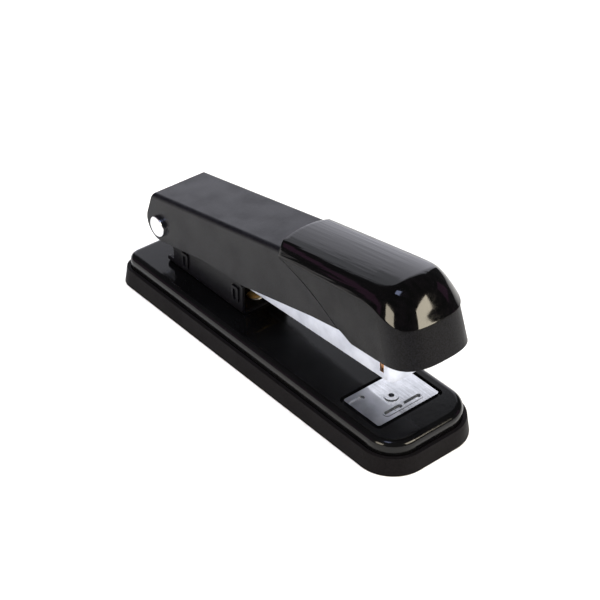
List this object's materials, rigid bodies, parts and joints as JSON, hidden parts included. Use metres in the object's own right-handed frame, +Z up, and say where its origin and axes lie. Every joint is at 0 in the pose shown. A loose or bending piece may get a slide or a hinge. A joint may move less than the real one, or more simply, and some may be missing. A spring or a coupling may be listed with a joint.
{
  "type": "desk stapler",
  "caption": "Half-strip desk stapler: folded steel arm with a moulded nose over a sprung magazine, on a long flat base with a reversible anvil plate.",
  "frame": {"origin": "centre of the footprint box, on the table plane", "axes": "+X from the hinge to the nose, +Z up from the table"},
  "size_m": [0.1354, 0.0388, 0.0585],
  "materials": {
    "tray_plastic": "fine spark-eroded texture",
    "black_enamel": "gloss stoved enamel",
    "black_powder_coat": "satin powder coat",
    "skirt_plastic": "satin moulded",
    "cap_plastic": "polished moulded",
    "chrome_plate": "bright plated",
    "nickel_plate": "satin nickel plated",
    "zinc_plate": "zinc plated",
    "yellow_zinc": "yellow passivated zinc",
    "spring_steel": "oiled spring steel",
    "copper_wire": "copper washed wire"
  },
  "bodies": {
    "base": {"base_tray": "tray_plastic", "base_shell": "black_enamel", "pivot_bracket": "black_powder_coat", "bracket_rivets": "zinc_plate", "hinge_pin": "chrome_plate", "hinge_washers": "zinc_plate", "lift_spring": "yellow_zinc", "lift_spring_rivet": "zinc_plate", "anvil_plate": "chrome_plate", "anvil_stud": "chrome_plate", "anvil_button": "zinc_plate", "anvil_spring": "spring_steel"},
    "magazine": {"magazine_channel": "nickel_plate", "staple_rail": "zinc_plate", "rail_rivets": "zinc_plate", "guide_rod": "zinc_plate", "pusher_spring": "spring_steel", "staple_strip": "copper_wire", "arm_spring": "spring_steel"},
    "pusher": {"pusher": "yellow_zinc"},
    "arm": {"arm_channel": "black_powder_coat", "driver_blade": "spring_steel", "head_cap": "cap_plastic", "head_skirt": "skirt_plastic"}
  },
  "joints": [
    {"name": "magazine_hinge", "type": "hinge", "parent": "base", "child": "magazine", "pos_m": [-0.05322, 0, 0.0245], "axis": [0, 1, 0], "range_deg": [0, 6.65], "stiffness_Nm_per_rad": 0.8, "springref_deg": -14.32, "deforming": ["lift_spring"]},
    {"name": "arm_hinge", "type": "hinge", "parent": "magazine", "child": "arm", "pos_m": [-0.05322, 0, 0.0245], "axis": [0, 1, 0], "range_deg": [-60, 4.25], "stiffness_Nm_per_rad": 0.5, "springref_deg": -3.44, "deforming": ["arm_spring"]},
    {"name": "pusher_slide", "type": "slide", "parent": "magazine", "child": "pusher", "axis": [0.9992, 0, 0.0412], "range_m": [-0.031, 0], "stiffness_N_per_m": 20, "springref_m": 0.02, "deforming": ["pusher_spring"]}
  ]
}
